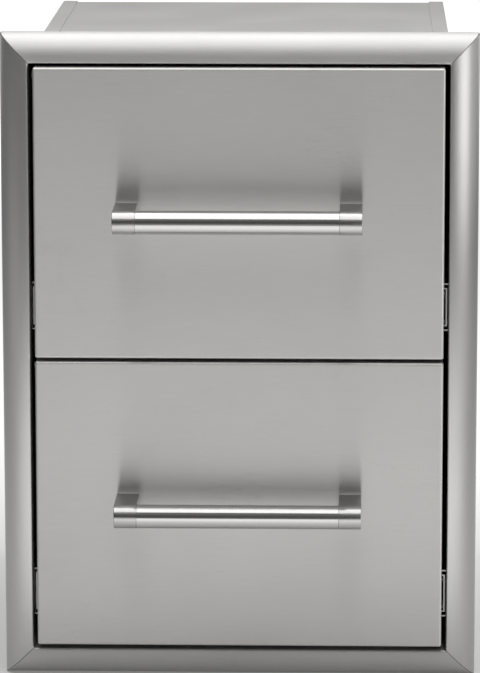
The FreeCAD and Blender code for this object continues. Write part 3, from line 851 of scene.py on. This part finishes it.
@dataclass
class TrimFrame:
    """Mitred frame of four members with a rounded face and a short lip.

    Attributes:
        width: overall.
        height: overall.
        bottom: its lower edge.
        face: width of one member.
        depth: off the wall.
        lip_radius: bend from the face into the opening.
        lip_rows: rows of points down the lip, as shares of its height.
        seat: strip on the wall.
        sheet: thickness.
        inner_bend: the bend's inside at its middle, as a share of its radius.
        corner_radius: of the four outer corners.
        weld_radius: of the ground welds in the opening's corners.
        weld_reach: how far in from the opening the weld's fillet starts.
        seam: half the hairline left at a mitre.
        seam_round: rounding of its edges.
        run_out: the least length that the loops from a mitre take up.
        end_shares: the loops from the mitre, 1 on it and 0 where the straight run starts.
        face_steps: parts of the face's curve outside.
        back_steps: parts of the face's curve inside.
        bend_steps: parts of the bend.
    """

    width: float = TRIM_WIDTH
    height: float = TRIM_HEIGHT
    bottom: float = TRIM_FOOT
    face: float = 0.0275
    depth: float = 0.023
    lip_radius: float = 0.0018
    lip_rows: tuple[float, ...] = (0.75, 0.4, 0.0)
    seat: float = 0.010
    sheet: float = 0.0012
    inner_bend: float = 0.7
    corner_radius: float = 0.003
    weld_radius: float = 0.0023
    weld_reach: float = 0.0035
    seam: float = 0.00006
    seam_round: float = 0.00022
    run_out: float = 0.0015
    end_shares: tuple[float, ...] = (1.0, 0.8, 0.6, 0.4, 0.2, 0.0)
    face_steps: int = 28
    back_steps: int = 14
    bend_steps: int = 6

    def section(self) -> Section:
        """Closed section of a member.

        Returns:
            Its points as (inset from the outer edge, rise off the wall).
        """
        crest = self.face - self.lip_radius
        lip_rise = self.depth - self.lip_radius
        inside = self.face - self.sheet
        bend = self.inner_bend * (self.lip_radius - self.sheet)
        points = [
            (crest * (1 - math.cos(angle)), self.depth * math.sin(angle))
            for angle in angles(0.0, RIGHT_ANGLE, self.face_steps)
        ]
        points += [
            (crest + self.lip_radius * math.cos(angle), lip_rise + self.lip_radius * math.sin(angle))
            for angle in angles(RIGHT_ANGLE, 0.0, self.bend_steps)[1:]
        ]
        points += [(self.face, share * lip_rise) for share in self.lip_rows]
        points += [(inside, 0.0), (inside, lip_rise), (crest + bend, lip_rise + bend)]
        lowest = math.asin(self.sheet / (self.depth - self.sheet))
        points += [
            (crest - (crest - self.sheet) * math.cos(angle), (self.depth - self.sheet) * math.sin(angle))
            for angle in angles(RIGHT_ANGLE, lowest, self.back_steps)
        ]
        return points + [(self.seat, self.sheet), (self.seat, 0.0)]

    def shrunk(self, points: Section, by: float) -> Section:
        """Section with its edges drawn in.

        Args:
            points: the section.
            by: how far.

        Returns:
            The smaller section.
        """
        moved = []
        for before, here, after in zip(points[-1:] + points[:-1], points, points[1:] + points[:1]):
            along = Vector((after[0] - before[0], after[1] - before[1]))
            along.normalize()
            moved.append((here[0] + by * along[1], here[1] - by * along[0]))
        return moved

    def corner_round(self, inset: float) -> float:
        """Corner radius of the outline, seen from the front.

        Args:
            inset: of the outline from the frame's outer edge.

        Returns:
            The radius.
        """
        start = self.face - self.weld_reach
        if inset < start:
            return max(self.corner_radius - inset, 0.0)
        share = min((inset - start) / self.weld_reach, 1.0)
        return self.weld_radius * share * share * (3 - 2 * share)

    def end_loops(self) -> list[list[Triple]]:
        """Loops from the mitre to the straight run.

        Returns:
            Their points as (along, inset, rise).
        """
        section = self.section()
        tip = self.shrunk(section, self.seam_round)
        loops = [[(inset + self.seam, inset, rise) for inset, rise in tip]]
        for share in self.end_shares:
            loops.append([(a + self.seam, b, c) for a, b, c in self.ring(section, share)])
        loops[1] = [(a + self.seam_round, b, c) for (a, b, c) in loops[1]]
        return loops

    def ring(self, section: Section, share: float) -> list[Triple]:
        """One loop of a member's end.

        Args:
            section: the member's section.
            share: 1 on the mitre, 0 where the straight run starts.

        Returns:
            Its points as (along, inset, rise).
        """
        angle = share * RIGHT_ANGLE / 2
        loop = []
        for inset, rise in section:
            radius = self.corner_round(inset)
            spread = max(self.run_out - radius, 0.0) * (1 - share)
            along = inset + radius * (1 - math.sin(angle)) + spread
            loop.append((along, inset + radius * (1 - math.cos(angle)), rise))
        return loop

    def member(self, start: Vector, along: Vector, inward: Vector, length: float) -> Shape:
        """One mitred member.

        Args:
            start: the outer corner it starts from.
            along: its direction.
            inward: direction from its outer edge to the opening.
            length: of its outer edge.

        Returns:
            Its mesh.
        """
        near = self.end_loops()
        far = [[(length - a, b, c) for a, b, c in loop] for loop in reversed(near)]
        off_wall = Vector((0.0, -1.0, 0.0))
        return lofted([
            [start + along * a + inward * b + off_wall * c for a, b, c in loop]
            for loop in near + far
        ])

    def build(self) -> None:
        """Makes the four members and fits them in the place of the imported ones."""
        left, right = -self.width / 2, self.width / 2
        top = self.bottom + self.height
        across, up = Vector((1.0, 0.0, 0.0)), Vector((0.0, 0.0, 1.0))
        plan = {
            "bottom": (Vector((left, 0, self.bottom)), across, up, self.width, TRIM_ACROSS),
            "top": (Vector((left, 0, top)), across, -up, self.width, TRIM_ACROSS),
            "left": (Vector((left, 0, self.bottom)), up, across, self.height, TRIM_UPRIGHT),
            "right": (Vector((right, 0, self.bottom)), up, -across, self.height, TRIM_UPRIGHT),
        }
        for name, (start, along, inward, length, finish) in plan.items():
            mesh = self.member(start, along, inward, length)
            piece = made_piece(f"trim_member_{name}", mesh, finish.material())
            fitted(piece, "cabinet", "trim_steel", f"trim_{name}")


# Drawers


class Level(Enum):
    """The two drawers, each with the lower edge of its front."""

    LOWER = ("lower", 0.0088)
    UPPER = ("upper", 0.2838)

    @property
    def label(self) -> str:
        """The level's name in node names."""
        return self.value[0]

    @property
    def bottom(self) -> float:
        """Lower edge of the level's front."""
        return self.value[1]

    @property
    def body(self) -> str:
        """The drawer's body."""
        return f"{self.label}_drawer"


@dataclass
class DrawerFront:
    """Outer skin of a drawer front, a pan with rounded edges.

    Attributes:
        level: which drawer.
        half: half its width.
        height: of the front.
        face_y: its face.
        depth: from its face to its rear edge.
        sheet: thickness.
        bend: outer radius of its edges.
        bend_steps: parts of the bend.
        margin: narrow flat rows on both sides of the bend.
        sharp: the least radius of a corner seen from the front.
    """

    level: Level
    half: float = 0.190
    height: float = 0.2718
    face_y: float = FRONT_FACE
    depth: float = 0.020
    sheet: float = 0.0012
    bend: float = 0.0022
    bend_steps: int = 8
    margin: float = 0.0004
    sharp: float = 1e-5

    def skin(self, inset: float, front: float, radius: float) -> list[Loop]:
        """Rings from the rear edge over the bend and on to the flat face.

        Args:
            inset: of this skin from the outer one.
            front: its face.
            radius: of its bend.

        Returns:
            The rings, in order.
        """
        low, high = self.level.bottom + inset, self.level.bottom + self.height - inset
        half, back = self.half - inset, self.face_y + self.depth
        stages = [(0.0, radius, back), (0.0, radius, front + radius + self.margin)]
        for angle in angles(0.0, RIGHT_ANGLE, self.bend_steps):
            drawn = radius * (1 - math.cos(angle))
            stages.append((drawn, max(radius - drawn, self.sharp), front + radius * (1 - math.sin(angle))))
        stages.append((radius + self.margin, self.sharp / 2, front))
        return [
            rounded_ring(half - drawn, low + drawn, high - drawn, corner, y)
            for drawn, corner, y in stages
        ]

    def build(self) -> None:
        """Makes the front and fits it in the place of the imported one."""
        outer = self.skin(0.0, self.face_y, self.bend)
        inner = self.skin(self.sheet, self.face_y + self.sheet, self.bend - self.sheet)
        pan = lofted(outer[::-1] + inner)
        piece = made_piece(f"{self.level.label}_front_skin", pan, FRONT_STEEL.material())
        fitted(piece, self.level.body, "front_steel", f"{self.level.label}_front_panel")


@dataclass
class Handle:
    """Tube handle on two posts with rounded noses.

    Attributes:
        level: which drawer.
        middle: height of the bar above the front's lower edge.
        length: overall.
        radius: of the bar and the noses.
        wall: of the tube.
        post: width of a post.
        axis_y: the bar's axis.
        face_y: the drawer front's face, which the posts stand on.
        spigot: length of the post's spigot inside the tube.
        spigot_round: chamfer at the spigot's end.
        slack: between the spigot and the tube.
        seam: chamfer at the joints.
        end_round: rounding of the posts' outer edges.
        end_steps: parts of that rounding.
        steps: points round the bar.
    """

    level: Level
    middle: float = HANDLE_RISE
    length: float = 0.2286
    radius: float = 0.011
    wall: float = 0.0015
    post: float = 0.021
    axis_y: float = -0.0787
    face_y: float = FRONT_FACE
    spigot: float = 0.008
    spigot_round: float = 0.0005
    slack: float = 0.0001
    seam: float = 0.00025
    end_round: float = 0.0006
    end_steps: int = 3
    steps: int = 64

    def ring(self, x: float, radius: float) -> Loop:
        """Circle about the bar's axis.

        Args:
            x: its place along the bar.
            radius: its radius.

        Returns:
            The points, in order.
        """
        z = self.level.bottom + self.middle
        turns = angles(0.0, 2 * math.pi, self.steps)[:-1]
        return [Vector((x, self.axis_y - radius * math.cos(a), z + radius * math.sin(a))) for a in turns]

    def post_ring(self, x: float, drawn: float) -> Loop:
        """Outline of a post: a round nose, straight top and underside, and a flat foot.

        Args:
            x: its place along the bar.
            drawn: how far its outline is drawn in.

        Returns:
            The points, in order.
        """
        radius = self.radius - drawn
        z = self.level.bottom + self.middle
        reach = self.face_y - self.axis_y
        corner = math.atan2(radius, reach)
        loop = []
        for point in self.ring(x, radius):
            behind = point.y - self.axis_y
            if behind > 0:
                angle = math.atan2(point.z - z, behind)
                if abs(angle) > corner:
                    share = (RIGHT_ANGLE - abs(angle)) / (RIGHT_ANGLE - corner)
                    point = Vector((x, self.axis_y + reach * share, z + math.copysign(radius, angle)))
                else:
                    point = Vector((x, self.face_y, z + radius * angle / corner))
            loop.append(point)
        return loop

    def bar(self) -> Shape:
        """Tube with a fine chamfer at both ends.

        Returns:
            Its mesh.
        """
        half = self.length / 2 - self.post
        bore, edge = self.radius - self.wall, self.radius - self.seam
        left = [(-half, bore), (-half, edge), (self.seam - half, self.radius)]
        right = [(-x, radius) for x, radius in reversed(left)]
        return lofted([self.ring(x, radius) for x, radius in left + right], closed=True)

    def end_post(self, side: float) -> Shape:
        """One post with its spigot.

        Args:
            side: -1 for the left post, 1 for the right one.

        Returns:
            Its mesh.
        """
        outer, inner = side * self.length / 2, side * (self.length / 2 - self.post)
        loops = []
        for turn in angles(0.0, RIGHT_ANGLE, self.end_steps):
            x = outer - side * self.end_round * (1 - math.cos(turn))
            loops.append(self.post_ring(x, self.end_round * (1 - math.sin(turn))))
        loops += [self.post_ring(inner + side * self.seam, 0.0), self.post_ring(inner, self.seam)]
        radius = self.radius - self.wall - self.slack
        loops += [self.ring(inner - side * reach, radius) for reach in (0.0, self.spigot - self.spigot_round)]
        loops.append(self.ring(inner - side * self.spigot, radius - self.spigot_round))
        return lofted(loops)

    def build(self) -> None:
        """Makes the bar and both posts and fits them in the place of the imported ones."""
        label = self.level.label
        bar = made_piece(f"{label}_handle_tube", self.bar(), HANDLE_STEEL.material())
        fitted(bar, self.level.body, "handle_steel", f"{label}_handle_bar")
        for name, side in zip(("left", "right"), SIDES):
            piece = made_piece(f"{label}_handle_end_{name}", self.end_post(side), POST_STEEL.material())
            fitted(piece, self.level.body, "handle_steel", f"{label}_handle_post_{name}")


# Fasteners

HEAD_SIDES, HEAD_ROWS, HEAD_RINGS, SHANK_SIDES = 28, 2, 5, 20
# How steeply a head curves, how far the shank reaches into it and the recess past it, as shares
CROWN_POWER = 2.6
SHANK_OVERLAP, RECESS_REACH = 0.5, 1.1
TAIL_CROWN = 0.5


def moved(graph: Graph, shape: Socket, rise: Socket, turn: Triple = (0.0, 0.0, 0.0)) -> Socket:
    """Adds a node that turns a shape and moves it along Z, and returns the result."""
    values = {"Geometry": shape, "Translation": graph.joined(Z=rise), "Rotation": turn}
    return graph.add("GeometryNodeTransform", values).outputs[0]


@dataclass(frozen=True)
class Spot:
    """Where a fastener sits.

    Attributes:
        seat: the underside of its head.
        aim: direction that its head looks in.
    """

    seat: Triple
    aim: Triple


@dataclass
class Fastener:
    """Screw or rivet, repeated at its places by a geometry node tree.

    Attributes:
        name: the tree's name.
        head_radius: of the head.
        head_height: at its middle.
        crown: how far the head's middle stands over its rim.
        shank_radius: of the shank.
        shank_length: under the head.
        tail_radius: of a rivet's closed end, or 0.
        tail_height: of that end.
        recess: width of a driver recess's arms, or 0.
    """

    name: str
    head_radius: float
    head_height: float
    crown: float
    shank_radius: float
    shank_length: float
    tail_radius: float = 0.0
    tail_height: float = 0.0
    recess: float = 0.0

    def domed(self, graph: Graph, radius: Socket, height: Socket, crown: Socket) -> Socket:
        """Disc with a domed top and its seat at the origin.

        Args:
            graph: the tree's graph.
            radius: of the disc.
            height: over its seat, at its middle.
            crown: how far its middle stands over its rim.

        Returns:
            The disc's geometry.
        """
        counts = {"Vertices": HEAD_SIDES, "Side Segments": HEAD_ROWS, "Fill Segments": HEAD_RINGS}
        disc = graph.add("GeometryNodeMeshCylinder", {**counts, "Radius": radius, "Depth": height})
        parts = graph.parts(graph.add("GeometryNodeInputPosition").outputs[0])
        reach = graph.measure("LENGTH", graph.joined(X=parts["X"], Y=parts["Y"]))
        bow = graph.math("POWER", graph.math("DIVIDE", reach, radius), CROWN_POWER)
        top = graph.math("GREATER_THAN", parts["Z"], 0.0)
        drop = graph.math("MULTIPLY", graph.math("MULTIPLY", bow, crown), top)
        rise = graph.math("SUBTRACT", graph.math("MULTIPLY", height, 0.5), drop)
        values = {"Geometry": disc.outputs["Mesh"], "Offset": graph.joined(Z=rise)}
        return graph.add("GeometryNodeSetPosition", values).outputs[0]

    def shank(self, graph: Graph, given: Sockets) -> Socket:
        """Plain shank that reaches up into the head.

        Args:
            graph: the tree's graph.
            given: the tree's inputs.

        Returns:
            The shank's geometry.
        """
        top = graph.math("MULTIPLY", given["Head Height"], SHANK_OVERLAP)
        length = graph.math("ADD", given["Shank Length"], top)
        sizes = {"Vertices": SHANK_SIDES, "Radius": given["Shank Radius"], "Depth": length}
        rod = graph.add("GeometryNodeMeshCylinder", sizes).outputs["Mesh"]
        middle = graph.math("MULTIPLY", graph.math("SUBTRACT", top, given["Shank Length"]), 0.5)
        return moved(graph, rod, middle)

    def recessed(self, graph: Graph, given: Sockets, head: Socket) -> Socket:
        """Cuts the driver's cross into a head.

        Args:
            graph: the tree's graph.
            given: the tree's inputs.
            head: the head's geometry.

        Returns:
            The cut head.
        """
        arm = graph.math("MULTIPLY", given["Head Radius"], RECESS_REACH)
        deep = graph.math("MULTIPLY", given["Head Height"], RECESS_REACH)
        cut = graph.add("GeometryNodeMeshBoolean", {"Mesh 1": head}, operation="DIFFERENCE")
        for x, y in ((arm, given["Recess"]), (given["Recess"], arm)):
            block = graph.add("GeometryNodeMeshCube", {"Size": graph.joined(X=x, Y=y, Z=deep)})
            graph.feed(cut.inputs["Mesh 2"], moved(graph, block.outputs["Mesh"], given["Head Height"]))
        return cut.outputs["Mesh"]

    def tail(self, graph: Graph, given: Sockets) -> Socket:
        """Closed end of a rivet, domed away from the head.

        Args:
            graph: the tree's graph.
            given: the tree's inputs.

        Returns:
            The end's geometry.
        """
        crown = graph.math("MULTIPLY", given["Tail Height"], TAIL_CROWN)
        dome = self.domed(graph, given["Tail Radius"], given["Tail Height"], crown)
        below = graph.math("MULTIPLY", given["Shank Length"], -1.0)
        return moved(graph, dome, below, (math.pi, 0.0, 0.0))

    def tree(self) -> bpy.types.NodeTree:
        """Builds the node tree that repeats the fastener.

        Returns:
            The tree, the same one each time.
        """
        known = bpy.data.node_groups.get(self.name)
        if known:
            return known
        inputs = {"Places": GEOMETRY, **dict.fromkeys(by_socket(self), FLOAT), "Finish": MATERIAL}
        tree = new_tree(self.name, "GeometryNodeTree", inputs, {"Fasteners": GEOMETRY})
        graph = Graph(tree)
        given = graph.add("NodeGroupInput").outputs
        head = self.domed(graph, given["Head Radius"], given["Head Height"], given["Crown"])
        parts = [self.recessed(graph, given, head) if self.recess else head, self.shank(graph, given)]
        if self.tail_radius:
            parts.append(self.tail(graph, given))
        whole = graph.add("GeometryNodeJoinGeometry")
        for part in parts:
            graph.feed(whole.inputs[0], part)
        aim = graph.add("GeometryNodeInputNamedAttribute", {"Name": "aim"}, data_type="FLOAT_VECTOR")
        turn = graph.add("FunctionNodeAlignRotationToVector", {"Vector": aim.outputs["Attribute"]}, axis="Z")
        values = {"Points": given["Places"], "Instance": whole.outputs[0], "Rotation": turn.outputs[0]}
        copies = graph.add("GeometryNodeInstanceOnPoints", values)
        solid = graph.add("GeometryNodeRealizeInstances", {"Geometry": copies.outputs[0]})
        values = {"Geometry": solid.outputs[0], "Material": given["Finish"]}
        coated = graph.add("GeometryNodeSetMaterial", values)
        graph.add("NodeGroupOutput", {0: coated.outputs[0]})
        return tree

    def placed(self, name: str, spots: Sequence[Spot], material: Material) -> bpy.types.Object:
        """Puts the fastener at its places and bakes the result into a plain mesh.

        Args:
            name: the piece's name.
            spots: where each one sits.
            material: their finish.

        Returns:
            The piece.
        """
        places = bpy.data.meshes.new(f"{name}_places")
        places.from_pydata([spot.seat for spot in spots], [], [])
        aims = places.attributes.new("aim", "FLOAT_VECTOR", "POINT")
        for entry, spot in zip(aims.data, spots):
            entry.vector = spot.aim
        piece = linked(name, places)
        live = piece.modifiers.new("fasteners", "NODES")
        live.node_group = self.tree()
        values = {**by_socket(self), "Finish": material}
        for socket in live.node_group.interface.items_tree:
            if socket.in_out == "INPUT" and socket.name in values:
                live[socket.identifier] = values[socket.name]
        evaluated = bpy.context.evaluated_depsgraph_get()
        baked = bpy.data.meshes.new_from_object(piece.evaluated_get(evaluated), depsgraph=evaluated)
        piece.modifiers.remove(live)
        piece.data = baked
        baked.name = name
        work = bmesh.new()
        work.from_mesh(baked)
        cleaned(work)
        smoothed(work, FASTENER_CREASE)
        work.to_mesh(baked)
        work.free()
        return piece


PAN_SCREW = Fastener("pan_screw", 0.0046, 0.0032, 0.0014, 0.0025, 0.013, recess=0.0012)
CABINET_RIVET = Fastener("cabinet_rivet", 0.0034, 0.0012, 0.0009, 0.002, 0.0024)
DRAWER_RIVET = Fastener("drawer_rivet", 0.0034, 0.0012, 0.0009, 0.002, 0.0022, 0.0028, 0.0008)


@dataclass
class Fasteners:
    """Every screw and rivet of the unit, in one piece for each body and kind.

    Attributes:
        rivet_ys: places of the rivets along each slide.
        slide_rise: slides' centre line above a front's lower edge.
        cabinet_skin: outside of the cabinet's sides.
        drawer_web: the drawer slide member's web, on the cabinet's side.
        handle_x: handle screws from the middle.
        handle_z: handle screws above the front's lower edge.
        handle_seat: where their heads sit.
        box_x: box screws from the middle.
        box_zs: box screws above the front's lower edge.
        box_seat: where their heads sit.
    """

    rivet_ys: tuple[float, ...] = (0.038, 0.226, 0.414)
    slide_rise: float = 0.044
    cabinet_skin: float = 0.1969
    drawer_web: float = 0.1842
    handle_x: float = 0.1038
    handle_z: float = HANDLE_RISE
    handle_seat: float = -0.0285
    box_x: float = 0.176
    box_zs: tuple[float, ...] = (0.039, 0.119, 0.199)
    box_seat: float = -0.0087

    def rivets(self, level: Level, x: float) -> list[Spot]:
        """Places of the rivets of a drawer's two slides, at x on both sides."""
        z = level.bottom + self.slide_rise
        return [Spot((side * x, y, z), (side, 0.0, 0.0)) for side in SIDES for y in self.rivet_ys]

    def screws(self, level: Level) -> list[Spot]:
        """Places of a drawer's screws, whose heads look backwards.

        Args:
            level: which drawer.

        Returns:
            The places, the handle's screws first.
        """
        kinds = (
            (self.handle_x, self.handle_seat, (self.handle_z,)),
            (self.box_x, self.box_seat, self.box_zs),
        )
        return [
            Spot((side * x, y, level.bottom + z), (0.0, 1.0, 0.0))
            for x, y, zs in kinds
            for side in SIDES
            for z in zs
        ]

    def build(self) -> None:
        """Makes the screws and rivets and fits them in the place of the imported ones."""
        finish = FASTENER_STEEL.material()
        spots = [spot for level in Level for spot in self.rivets(level, self.cabinet_skin)]
        piece = CABINET_RIVET.placed("cabinet_rivet_heads", spots, finish)
        fitted(piece, "cabinet", "fastener_steel", "cabinet_slide_rivets")
        for level in Level:
            spots = self.rivets(level, self.drawer_web)
            piece = DRAWER_RIVET.placed(f"{level.label}_rivet_heads", spots, finish)
            fitted(piece, level.body, "fastener_steel", f"{level.label}_slide_rivets")
            piece = PAN_SCREW.placed(f"{level.label}_screws", self.screws(level), finish)
            fitted(piece, level.body, "fastener_steel", f"{level.label}_drawer_screws")


@dataclass
class CarriedNodes:
    """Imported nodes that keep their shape, each group with its finish.

    Attributes:
        finishes: the finish of each group, by a word in the node's name, first match first.
    """

    finishes: tuple[tuple[str, Finish], ...] = (
        ("bumpers", BUMPER_PLASTIC),
        ("balls", BALL_STEEL),
        ("cage", CAGE_STEEL),
        ("slide_", SLIDE_STEEL),
        ("cabinet_", CABINET_STEEL),
        ("box_", BOX_STEEL),
        ("liner", BOX_STEEL),
    )

    def build(self, nodes: Mapping[str, bpy.types.Object]) -> None:
        """Dresses every node that is still shown, through its own material slots.

        Args:
            nodes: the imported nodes, by name.
        """
        for name, node in sorted(nodes.items()):
            if node.hide_render:
                continue
            finish = next(finish for word, finish in self.finishes if word in name)
            for slot in node.material_slots:
                slot.material = finish.material()
            LOG.info("%s: %s", name, finish.name)


# Studio


@dataclass(frozen=True)
class Lamp:
    """Soft rectangular lamp.

    Attributes:
        name: the lamp's name.
        place: its middle.
        aim: the point it faces.
        size: its width and its height.
        radiance: its brightness, where 1 shows as white.
    """

    name: str
    place: Triple
    aim: Triple
    size: tuple[float, float]
    radiance: float

    def build(self) -> None:
        """Adds the lamp to the scene."""
        light = bpy.data.lights.new(self.name, "AREA")
        light.shape = "RECTANGLE"
        light.size, light.size_y = self.size
        light.energy = self.radiance * math.pi * self.size[0] * self.size[1]
        lamp = linked(self.name, light)
        lamp.location = self.place
        lamp.rotation_mode = "QUATERNION"
        lamp.rotation_quaternion = (Vector(self.aim) - Vector(self.place)).to_track_quat("-Z", "Y")
        lamp.visible_camera = False


@dataclass(frozen=True)
class Wall:
    """How bright the room is in one direction.

    Attributes:
        way: the direction, level and of length 1.
        low: brightness near the horizon, where 1 shows as white.
        high: brightness half way up.
    """

    way: Triple
    low: float
    high: float


@dataclass
class Studio:
    """Pale floor, soft lamps, plain surroundings and the camera.

    Attributes:
        floor_radius: of the floor.
        floor_sides: of its outline.
        lamps: the soft lamps.
        walls: the room's four directions.
        wall_angles: heights in degrees where the walls' low parts end, their high parts start
            and end, and the ceiling starts.
        ceiling: brightness overhead.
        lens: focal length.
        sensor: width of the camera's sensor.
        clip: nearest and farthest that the camera sees.
        pitch: how far the camera looks down.
        yaw: how far it stands to the right.
        roll: its turn about its own axis.
        distance: from the point it looks at.
        target: that point.
    """

    floor_radius: float = 34.0
    floor_sides: int = 96
    lamps: tuple[Lamp, ...] = (
        Lamp("overhead_softbox", (0.0, 0.4, 1.6), (0.0, 0.4, 0.0), (2.2, 1.0), 2.7),
        Lamp("front_overhead_softbox", (0.0, -0.62, 1.6), (0.0, -0.62, 0.0), (2.2, 1.04), 1.9),
        Lamp("right_front_softbox", (1.69, -1.41, 0.32), (0.0, 0.0, 0.32), (1.6, 0.46), 2.25),
        Lamp("right_softbox", (2.1, 0.3, 0.36), (0.0, 0.1, 0.36), (1.4, 0.44), 0.42),
    )
    walls: tuple[Wall, ...] = (
        Wall((0.0, -1.0, 0.0), 0.07, 0.26),
        Wall((1.0, 0.0, 0.0), 1.10, 0.20),
        Wall((0.0, 1.0, 0.0), 0.50, 0.20),
        Wall((-1.0, 0.0, 0.0), 0.02, 0.10),
    )
    wall_angles: Triple = (18.0, 42.0, 66.0)
    ceiling: float = 0.05
    lens: float = 224.864
    sensor: float = 36.0
    clip: tuple[float, float] = (0.05, 200.0)
    pitch: float = 0.186834
    yaw: float = 0.029079
    roll: float = -0.000942
    distance: float = 3.90988
    target: Triple = (0.000846, -0.023, 0.303974)

    def camera(self) -> None:
        """Sets up the camera."""
        data = bpy.data.cameras.new("camera")
        data.lens = self.lens
        data.sensor_width = self.sensor
        data.clip_start, data.clip_end = self.clip
        back = Vector((
            math.sin(self.yaw) * math.cos(self.pitch),
            -math.cos(self.yaw) * math.cos(self.pitch),
            math.sin(self.pitch),
        ))
        level = Vector((math.cos(self.yaw), math.sin(self.yaw), 0.0))
        upright = back.cross(level)
        right = level * math.cos(self.roll) + upright * math.sin(self.roll)
        up = upright * math.cos(self.roll) - level * math.sin(self.roll)
        turn = Matrix((right, up, back)).transposed().to_4x4()
        camera = linked("camera", data)
        camera.matrix_world = Matrix.Translation(Vector(self.target) + back * self.distance) @ turn
        bpy.context.scene.camera = camera

    def floor(self) -> None:
        """Lays the floor."""
        mesh = bmesh.new()
        bmesh.ops.create_circle(mesh, cap_ends=True, radius=self.floor_radius, segments=self.floor_sides)
        bmesh.ops.translate(mesh, verts=mesh.verts, vec=(0.0, 0.0, FLOOR_PAPER.height))
        data = bpy.data.meshes.new("floor")
        mesh.to_mesh(data)
        mesh.free()
        data.materials.append(FLOOR_PAPER.material())
        floor = linked("floor", data)

    def surroundings(self) -> None:
        """Gives the room round the lamps its own plain, uneven grey."""
        world = bpy.data.worlds.new("studio_room")
        bpy.context.scene.world = world
        world.use_nodes = True
        world.node_tree.nodes.clear()
        graph = Graph(world.node_tree)
        way = graph.add("ShaderNodeTexCoord").outputs["Generated"]
        rise = graph.parts(way)["Z"]
        level = graph.vector("NORMALIZE", graph.vector("MULTIPLY", way, (1.0, 1.0, 0.0)))
        low, high, top = (math.sin(math.radians(angle)) for angle in self.wall_angles)
        upper = graph.span(rise, low, high)
        above = graph.span(rise, high, top)
        light = graph.math("MULTIPLY", above, self.ceiling)
        for wall in self.walls:
            toward = graph.math("MAXIMUM", graph.measure("DOT_PRODUCT", level, wall.way), 0.0)
            glow = graph.math("MULTIPLY_ADD", upper, wall.high - wall.low, wall.low)
            share = graph.math("POWER", toward, 2.0)
            fade = graph.math("MULTIPLY", share, graph.math("SUBTRACT", 1.0, above))
            light = graph.math("MULTIPLY_ADD", fade, glow, light)
        shade = graph.add("ShaderNodeBackground", {"Color": (1.0, 1.0, 1.0, 1.0), "Strength": light})
        graph.add("ShaderNodeOutputWorld", {"Surface": shade.outputs[0]})

    def build(self) -> None:
        """Sets up everything round the object."""
        bpy.context.scene.view_settings.view_transform = "Standard"
        self.surroundings()
        self.floor()
        for lamp in self.lamps:
            lamp.build()
        self.camera()


def main() -> None:
    """Builds the whole scene."""
    logging.basicConfig(level=logging.INFO, format="%(message)s")
    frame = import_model()
    Studio().build()
    TrimFrame().build()
    for level in Level:
        DrawerFront(level).build()
        Handle(level).build()
    Fasteners().build()
    CarriedNodes().build(frame["nodes"])


if __name__ == "__main__":
    main()
